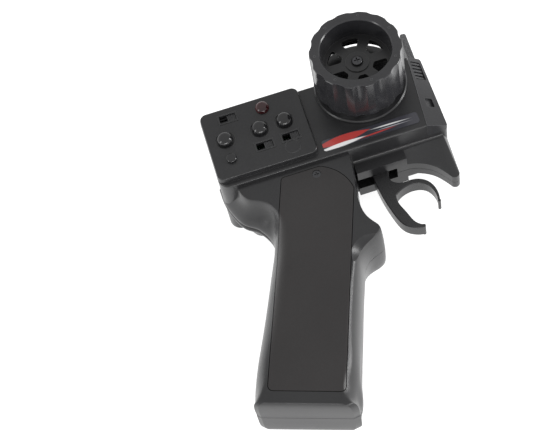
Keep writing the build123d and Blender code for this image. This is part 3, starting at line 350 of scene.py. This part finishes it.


# %% Casing, door, panel and trim
# After the name come the colour, the paler colour of rubbed edges that is also a painted edge
# highlight, the roughness, and the grain's size and depth.
casing_plastic = moulded_plastic(
    "casing_plastic", (0.017, 0.017, 0.018), (0.06, 0.06, 0.063), 0.29, 2600, 0.35, wear_and_highlight=0.15)
door_plastic = moulded_plastic(
    "door_plastic", (0.019, 0.017, 0.017), (0.06, 0.056, 0.056), 0.36, 2100, 0.6, wear_and_highlight=0.0)
panel_plastic = moulded_plastic(
    "panel_plastic", (0.014, 0.014, 0.015), (0.08, 0.08, 0.083), 0.30, 2900, 0.4)
trim_plastic = moulded_plastic(
    "trim_plastic", (0.020, 0.020, 0.022), (0.10, 0.10, 0.105), 0.30, 3200, 0.3)
dress(casing_plastic, "right_shell", "left_shell")
dress(door_plastic, "battery_door")
dress(panel_plastic, "control_panel", "wheel_collar")
dress(trim_plastic, "front_trim")

# %% Wheel, trigger and knobs
wheel_plastic = moulded_plastic(
    "wheel_plastic", (0.018, 0.018, 0.020), (0.09, 0.09, 0.095), 0.20, 3600, 0.15, coat=0.15)
hub_plastic = moulded_plastic(
    "hub_plastic", (0.016, 0.016, 0.017), (0.08, 0.08, 0.08), 0.30, 3000, 0.3)
trigger_plastic = moulded_plastic(
    "trigger_plastic", (0.014, 0.014, 0.015), (0.08, 0.08, 0.08), 0.28, 3200, 0.25)
knob_plastic = moulded_plastic(
    "knob_plastic", (0.006, 0.006, 0.007), (0.04, 0.04, 0.04), 0.14, 1500, 0.04, coat=0.3)
lever_plastic = moulded_plastic(
    "lever_plastic", (0.010, 0.010, 0.011), (0.09, 0.09, 0.095), 0.35, 3000, 0.3)
dress(wheel_plastic, "wheel_tyre")
dress(hub_plastic, "wheel_hub")
dress(trigger_plastic, "trigger")
dress(knob_plastic, "steering_trim_knob", "throttle_trim_knob", "dual_rate_knob", "bind_button")
dress(lever_plastic, "power_lever", "steering_reverse_lever", "throttle_reverse_lever")

# %% Hidden plastics
component_plastic = moulded_plastic(
    "component_plastic", (0.025, 0.025, 0.027), (0.09, 0.09, 0.09), 0.4, 1800, 0.3)
tray_plastic = moulded_plastic(
    "tray_plastic", (0.04, 0.04, 0.042), (0.12, 0.12, 0.12), 0.5, 1500, 0.5)
red_jacket = moulded_plastic(
    "red_jacket", (0.35, 0.015, 0.012), (0.5, 0.08, 0.06), 0.45, 2500, 0.2)
black_jacket = moulded_plastic(
    "black_jacket", (0.015, 0.015, 0.016), (0.06, 0.06, 0.06), 0.45, 2500, 0.2)
dress(component_plastic, "steering_pot", "throttle_pot", "tact_switch",
      "steering_trim_pot", "throttle_trim_pot", "dual_rate_pot")
dress(tray_plastic, "battery_tray")
dress(red_jacket, "battery_lead_positive")
dress(black_jacket, "battery_lead_negative", "steering_lead", "throttle_lead", "antenna_wire")

# %% [markdown]
# ## Metals
# Screws, shaft, springs and switch cans are plated or drawn steel, and the bush is sintered bronze.
# A metal's colour sits in its reflection, so Metallic is 1 and the roughness varies with fine
# scratches. A noise stretched along one direction gives the drawn look.


# %% Metals
def drawn_metal(name, color, roughness, stretch):
    """Metal with fine lines along one direction."""
    material = bpy.data.materials.new(name)
    material.use_nodes = True
    tree = material.node_tree
    shader = tree.nodes["Principled BSDF"]
    shader.inputs["Metallic"].default_value = 1.0
    where = tree.nodes.new("ShaderNodeTexCoord")
    pull = tree.nodes.new("ShaderNodeMapping")
    pull.inputs["Scale"].default_value = stretch
    tree.links.new(where.outputs["Object"], pull.inputs["Vector"])
    lines = tree.nodes.new("ShaderNodeTexNoise")
    lines.inputs["Scale"].default_value = 900.0
    lines.inputs["Detail"].default_value = 3.0
    tree.links.new(pull.outputs["Vector"], lines.inputs["Vector"])
    shades = tree.nodes.new("ShaderNodeMix")
    shades.data_type = "RGBA"
    shades.inputs["A"].default_value = (*[0.75 * c for c in color], 1)
    shades.inputs["B"].default_value = (*color, 1)
    tree.links.new(lines.outputs["Fac"], shades.inputs["Factor"])
    tree.links.new(shades.outputs["Result"], shader.inputs["Base Color"])
    spread = math_node(tree, "MULTIPLY", lines.outputs["Fac"], 0.25)
    tree.links.new(math_node(tree, "ADD", spread, roughness), shader.inputs["Roughness"])
    dent = tree.nodes.new("ShaderNodeBump")
    dent.inputs["Strength"].default_value = 0.15
    dent.inputs["Distance"].default_value = 0.00005
    tree.links.new(lines.outputs["Fac"], dent.inputs["Height"])
    tree.links.new(dent.outputs["Normal"], shader.inputs["Normal"])
    return material


plated_steel = drawn_metal("plated_steel", (0.62, 0.62, 0.64), 0.18, (1, 1, 1))
shaft_steel = drawn_metal("shaft_steel", (0.55, 0.55, 0.57), 0.15, (6, 6, 0.5))
spring_steel = drawn_metal("spring_steel", (0.50, 0.50, 0.52), 0.22, (1, 1, 4))
sintered_bronze = drawn_metal("sintered_bronze", (0.48, 0.33, 0.16), 0.38, (1, 1, 1))
black_screw = drawn_metal("black_oxide_screw", (0.10, 0.10, 0.105), 0.22, (1, 1, 1))
dress(plated_steel, "casing_screws", "board_screws", "power_switch",
      "steering_reverse_switch", "throttle_reverse_switch", "battery_contacts")
dress(black_screw, "door_screw", "wheel_screw")
dress(shaft_steel, "steering_shaft", "trigger_pin")
dress(spring_steel, "steering_return_spring", "trigger_return_spring")
dress(sintered_bronze, "steering_bush")


# %% [markdown]
# ## Rubbery antenna cap
# The short blade behind the wheel has a coarse pebbled skin, rougher than anything else on the
# part. A Voronoi pattern makes the pebbles: its distance to the nearest cell centre is a ready-made
# bump, and the hollows between pebbles hold the dust, so they are painted paler.

# %% Antenna cap
pebbled_rubber = bpy.data.materials.new("pebbled_rubber")
pebbled_rubber.use_nodes = True
tree = pebbled_rubber.node_tree
shader = tree.nodes["Principled BSDF"]
shader.inputs["Roughness"].default_value = 0.62
where = tree.nodes.new("ShaderNodeTexCoord")
pebbles = tree.nodes.new("ShaderNodeTexVoronoi")
pebbles.inputs["Scale"].default_value = 950.0
tree.links.new(where.outputs["Object"], pebbles.inputs["Vector"])
tone = tree.nodes.new("ShaderNodeMix")
tone.data_type = "RGBA"
tone.inputs["A"].default_value = (0.045, 0.045, 0.047, 1)
tone.inputs["B"].default_value = (0.15, 0.15, 0.155, 1)
tree.links.new(pebbles.outputs["Distance"], tone.inputs["Factor"])
tree.links.new(tone.outputs["Result"], shader.inputs["Base Color"])
dents = tree.nodes.new("ShaderNodeBump")
dents.invert = True
dents.inputs["Strength"].default_value = 0.7
dents.inputs["Distance"].default_value = 0.0003
tree.links.new(pebbles.outputs["Distance"], dents.inputs["Height"])
tree.links.new(dents.outputs["Normal"], shader.inputs["Normal"])
dress(pebbled_rubber, "antenna_cap")

# %% [markdown]
# ## Red lamp
# The lamp dome is clear red plastic over a small diode. Real clear plastic would need many light
# bounces, so the dome mixes a deep red body with a glossy coat, and is a little brighter towards its
# rim, where Layer Weight says the surface turns away and light gathers.


# %% Lamp dome and diode
def clear_red(name, deep, bright, coat):
    """Dark clear red that brightens where the surface turns away."""
    material = bpy.data.materials.new(name)
    material.use_nodes = True
    tree = material.node_tree
    shader = tree.nodes["Principled BSDF"]
    shader.inputs["Roughness"].default_value = 0.12
    shader.inputs["Coat Weight"].default_value = coat
    shader.inputs["Coat Roughness"].default_value = 0.03
    rim = tree.nodes.new("ShaderNodeLayerWeight")
    rim.inputs["Blend"].default_value = 0.45
    shade = tree.nodes.new("ShaderNodeMix")
    shade.data_type = "RGBA"
    shade.inputs["A"].default_value = (*deep, 1)
    shade.inputs["B"].default_value = (*bright, 1)
    tree.links.new(rim.outputs["Facing"], shade.inputs["Factor"])
    tree.links.new(shade.outputs["Result"], shader.inputs["Base Color"])
    return material


dress(clear_red("lamp_red", (0.016, 0.002, 0.003), (0.075, 0.008, 0.010), 0.3), "lamp_lens")
dress(clear_red("diode_red", (0.30, 0.03, 0.03), (0.55, 0.15, 0.13), 0.6), "lamp_diode")

# %% [markdown]
# ## Printed label
# The real label carries lettering, which is left out. In its place is a plain design of a racing
# stripe: a red sweep, a white sweep under it and thin bars on dark film. Every shape is the
# same sum, a lens: how far a point is from a sloping centre line, against a width that swells
# and shrinks like half a sine wave. The label's own box gives the coordinates their 0 to 1 range.

# %% Label coordinates
label_low, label_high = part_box("label_plate")
label_film = bpy.data.materials.new("label_film")
label_film.use_nodes = True
tree = label_film.node_tree
shader = tree.nodes["Principled BSDF"]
shader.inputs["Roughness"].default_value = 0.22
shader.inputs["Coat Weight"].default_value = 0.35
where = tree.nodes.new("ShaderNodeTexCoord")
axes = tree.nodes.new("ShaderNodeSeparateXYZ")
tree.links.new(where.outputs["Object"], axes.inputs["Vector"])
along = math_node(tree, "SUBTRACT", axes.outputs["X"], float(label_low[0]))
along = math_node(tree, "DIVIDE", along, float(label_high[0] - label_low[0]))
across = math_node(tree, "SUBTRACT", axes.outputs["Y"], float(label_low[1]))
across = math_node(tree, "DIVIDE", across, float(label_high[1] - label_low[1]))


# %% Label shapes
edge_sharpness = 14.0
sweep_red = (0.42, 0.045, 0.04)
sweep_white = (0.80, 0.80, 0.80)
bar_grey = (0.55, 0.55, 0.58)
film_dark = (0.035, 0.035, 0.045)


def sweep(start, length, centre, slope, half_width):
    """Mask of one lens-shaped stripe on the label."""
    share = math_node(tree, "DIVIDE", math_node(tree, "SUBTRACT", along, start), length)
    share = math_node(tree, "MINIMUM", math_node(tree, "MAXIMUM", share, 0.0), 1.0)
    swell = math_node(tree, "SINE", math_node(tree, "MULTIPLY", share, pi), 0.0)
    width = math_node(tree, "MULTIPLY", swell, half_width)
    line = math_node(tree, "ADD", math_node(tree, "MULTIPLY", along, slope), centre)
    distance = math_node(tree, "ABSOLUTE", math_node(tree, "SUBTRACT", across, line), 0.0)
    inside = math_node(tree, "SUBTRACT", width, distance)
    inside = math_node(tree, "MULTIPLY", inside, edge_sharpness)
    return math_node(tree, "MINIMUM", math_node(tree, "MAXIMUM", inside, 0.0), 1.0)


def painted_over(base, color, mask):
    """Lay a colour over what is already there, where the mask says."""
    mix = tree.nodes.new("ShaderNodeMix")
    mix.data_type = "RGBA"
    mix.inputs["B"].default_value = (*color, 1)
    if isinstance(base, tuple):
        mix.inputs["A"].default_value = (*base, 1)
    else:
        tree.links.new(base, mix.inputs["A"])
    tree.links.new(mask, mix.inputs["Factor"])
    return mix.outputs["Result"]


paint = painted_over(film_dark, sweep_red, sweep(-0.10, 0.62, 0.52, 0.45, 0.40))
paint = painted_over(paint, sweep_white, sweep(-0.12, 0.60, 0.10, 0.35, 0.20))
paint = painted_over(paint, sweep_red, sweep(0.30, 0.50, 0.05, 0.35, 0.10))
paint = painted_over(paint, sweep_white, sweep(0.45, 0.50, 0.72, -0.12, 0.09))
paint = painted_over(paint, bar_grey, sweep(0.50, 0.46, 0.46, -0.06, 0.06))
tree.links.new(paint, shader.inputs["Base Color"])
dress(label_film, "label_plate")

# %% [markdown]
# ## Boards and cells
# These only show when the casing is opened, but they are finished like the rest. The circuit board
# is dark green lacquer with copper tracks faintly visible under it: stripes from a Wave texture with
# some distortion. A cell is a dark printed wrap with copper bands that repeat along the grip.

# %% Circuit board
board_lacquer = bpy.data.materials.new("board_lacquer")
board_lacquer.use_nodes = True
tree = board_lacquer.node_tree
shader = tree.nodes["Principled BSDF"]
shader.inputs["Coat Weight"].default_value = 0.4
where = tree.nodes.new("ShaderNodeTexCoord")
tracks = tree.nodes.new("ShaderNodeTexWave")
tracks.inputs["Scale"].default_value = 190.0
tracks.inputs["Distortion"].default_value = 6.0
tree.links.new(where.outputs["Object"], tracks.inputs["Vector"])
cut = math_node(tree, "GREATER_THAN", tracks.outputs["Fac"], 0.72)
green = tree.nodes.new("ShaderNodeMix")
green.data_type = "RGBA"
green.inputs["A"].default_value = (0.005, 0.026, 0.012, 1)
green.inputs["B"].default_value = (0.014, 0.062, 0.025, 1)
tree.links.new(cut, green.inputs["Factor"])
tree.links.new(green.outputs["Result"], shader.inputs["Base Color"])
uneven = math_node(tree, "MULTIPLY", cut, 0.1)
tree.links.new(math_node(tree, "ADD", uneven, 0.25), shader.inputs["Roughness"])
dress(board_lacquer, "control_board", "radio_module")


# %% Cells
cell_length = 0.050
grip_lean = radians(19.5)


def cell_wrap(name, band):
    """Dark printed wrap with bands across the grip's own direction."""
    material = bpy.data.materials.new(name)
    material.use_nodes = True
    tree = material.node_tree
    shader = tree.nodes["Principled BSDF"]
    shader.inputs["Coat Weight"].default_value = 0.5
    where = tree.nodes.new("ShaderNodeTexCoord")
    turn = tree.nodes.new("ShaderNodeMapping")
    turn.inputs["Rotation"].default_value = (0, 0, grip_lean)
    tree.links.new(where.outputs["Object"], turn.inputs["Vector"])
    axes = tree.nodes.new("ShaderNodeSeparateXYZ")
    tree.links.new(turn.outputs["Vector"], axes.inputs["Vector"])
    phase = math_node(tree, "MULTIPLY", axes.outputs["Y"], 2 * pi / cell_length)
    waves = math_node(tree, "SINE", phase, 0.0)
    striped = math_node(tree, "GREATER_THAN", waves, 0.55)
    mix = tree.nodes.new("ShaderNodeMix")
    mix.data_type = "RGBA"
    mix.inputs["A"].default_value = (0.02, 0.02, 0.022, 1)
    mix.inputs["B"].default_value = (*band, 1)
    tree.links.new(striped, mix.inputs["Factor"])
    tree.links.new(mix.outputs["Result"], shader.inputs["Base Color"])
    uneven = math_node(tree, "MULTIPLY", striped, 0.12)
    tree.links.new(math_node(tree, "ADD", uneven, 0.22), shader.inputs["Roughness"])
    return material


copper_wrap = cell_wrap("copper_wrap", (0.45, 0.22, 0.08))
dress(copper_wrap, "battery_cell_1", "battery_cell_2", "battery_cell_3", "battery_cell_4")

# %% [markdown]
# ## Small raised details
# Some details are too fine for the CAD solids. They are modelled as anyone would by hand: add a
# primitive at its place, shape it in edit mode, and apply its modifiers. Three helpers keep that
# short. One starts clean with nothing selected, one goes into edit mode with chosen faces
# selected, and one moves the finished piece's place into its mesh, as the CAD nodes have it.


# %% Helpers for pieces
def start_clean():
    """Leave edit mode and deselect everything, because an operator acts on all that is selected."""
    if bpy.context.object and bpy.context.object.mode != "OBJECT":
        bpy.ops.object.mode_set(mode="OBJECT")
    bpy.ops.object.select_all(action="DESELECT")


def edit_faces(piece, wanted):
    """Go into edit mode with the wanted faces selected. wanted gets a face and says yes or no."""
    bpy.ops.object.mode_set(mode="EDIT")
    bpy.ops.mesh.select_mode(type="FACE")
    bpy.ops.mesh.select_all(action="DESELECT")
    shape = bmesh.from_edit_mesh(piece.data)
    for face in shape.faces:
        face.select = wanted(face)
    bmesh.update_edit_mesh(piece.data)


def settle(piece, name, material, body):
    """Apply modifiers and place, name the piece, paint it and let it ride on its body."""
    start_clean()
    piece.select_set(True)
    bpy.context.view_layer.objects.active = piece
    for modifier in list(piece.modifiers):
        bpy.ops.object.modifier_apply(modifier=modifier.name)
    bpy.ops.object.transform_apply(location=True, rotation=True, scale=True)
    bpy.ops.object.shade_smooth_by_angle(angle=radians(35))
    piece.name = name
    piece.data.name = name
    piece.data.materials.clear()
    piece.data.materials.append(material)
    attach(piece, body)
    print(name, "faces:", len(piece.data.polygons))


# %% [markdown]
# ### Marks on the wheel's face
# The wheel's flat rim carries a ring of small round pips. Each is a low cylinder whose top face is
# inset and sunk, so it reads as a shallow dish, then its edges are bevelled. The same few steps
# make each pip at its place round the ring, and the pips are joined into one piece.

# %% Wheel pips
tyre_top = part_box("wheel_tyre")[1][2]
pip_ring = 0.0212
pip_radius = 0.00085
pip_height = 0.0003
pip_rise = 0.00002
pip_count = 7
first_pip_degrees = 18
dish_rim = 0.00025
dish_depth = 0.00012
pip_bevel = 0.00006
pips = []
start_clean()
for number in range(pip_count):
    angle = radians(first_pip_degrees + number * 360 / pip_count)
    spot = (pip_ring * cos(angle), pip_ring * sin(angle), tyre_top + pip_rise)
    bpy.ops.mesh.primitive_cylinder_add(
        vertices=20, radius=pip_radius, depth=pip_height, location=spot)
    pip = bpy.context.object
    edit_faces(pip, lambda face: face.normal.z > 0.9)
    bpy.ops.mesh.inset(thickness=dish_rim)
    bpy.ops.transform.translate(value=(0, 0, -dish_depth))
    bpy.ops.object.mode_set(mode="OBJECT")
    softened = pip.modifiers.new("softened", "BEVEL")
    softened.width = pip_bevel
    softened.segments = 2
    bpy.ops.object.modifier_apply(modifier="softened")
    pips.append(pip)
start_clean()
for pip in pips:
    pip.select_set(True)
bpy.context.view_layer.objects.active = pips[0]
bpy.ops.object.join()
settle(bpy.context.object, "wheel_pips", wheel_plastic, "wheel")

# %% [markdown]
# ### Frames round the slide switches
# Each slot in the panel has a thin raised frame. A plane the size of the slot's opening is inset to
# leave a border, the middle is deleted, and Solidify gives the border its height. A small bevel
# catches the light along it.

# %% Switch frames
panel_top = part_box("control_panel")[1][2]
frame_size = (0.0106, 0.0062, 1.0)
frame_border = 0.00085
frame_height = 0.0003
frame_bevel = 0.00012
frame_sink = 0.00002
for name in ("power", "steering_reverse", "throttle_reverse"):
    low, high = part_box(name + "_switch")
    middle = ((low[0] + high[0]) / 2, (low[1] + high[1]) / 2, panel_top - frame_sink)
    start_clean()
    bpy.ops.mesh.primitive_plane_add(size=1.0, location=middle)
    surround = bpy.context.object
    surround.scale = frame_size
    bpy.ops.object.transform_apply(location=False, rotation=False, scale=True)
    edit_faces(surround, lambda face: True)
    bpy.ops.mesh.inset(thickness=frame_border)
    bpy.ops.mesh.delete(type="FACE")
    bpy.ops.object.mode_set(mode="OBJECT")
    raised = surround.modifiers.new("raised", "SOLIDIFY")
    raised.thickness = frame_height
    raised.offset = 1.0
    softened = surround.modifiers.new("softened", "BEVEL")
    softened.width = frame_bevel
    softened.segments = 2
    settle(surround, name + "_frame", panel_plastic, "casing")

# %% [markdown]
# ### Ring moulded in the panel
# Low on the panel there is a faint moulded circle. A torus primitive, flattened in edit mode so that
# only a low round ridge stands above the panel, is enough.

# %% Panel ring
panel_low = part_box("control_panel")[0]
ring_radius = 0.0040
ridge_radius = 0.0003
ridge_flatness = 0.6
ring_spot = (panel_low[0] + 0.0422, panel_low[1] + 0.0075, panel_top)
start_clean()
bpy.ops.mesh.primitive_torus_add(
    location=ring_spot, major_radius=ring_radius, minor_radius=ridge_radius,
    major_segments=48, minor_segments=10)
ring = bpy.context.object
edit_faces(ring, lambda face: True)
bpy.ops.transform.resize(value=(1, 1, ridge_flatness))
bpy.ops.object.mode_set(mode="OBJECT")
settle(ring, "panel_ring", panel_plastic, "casing")
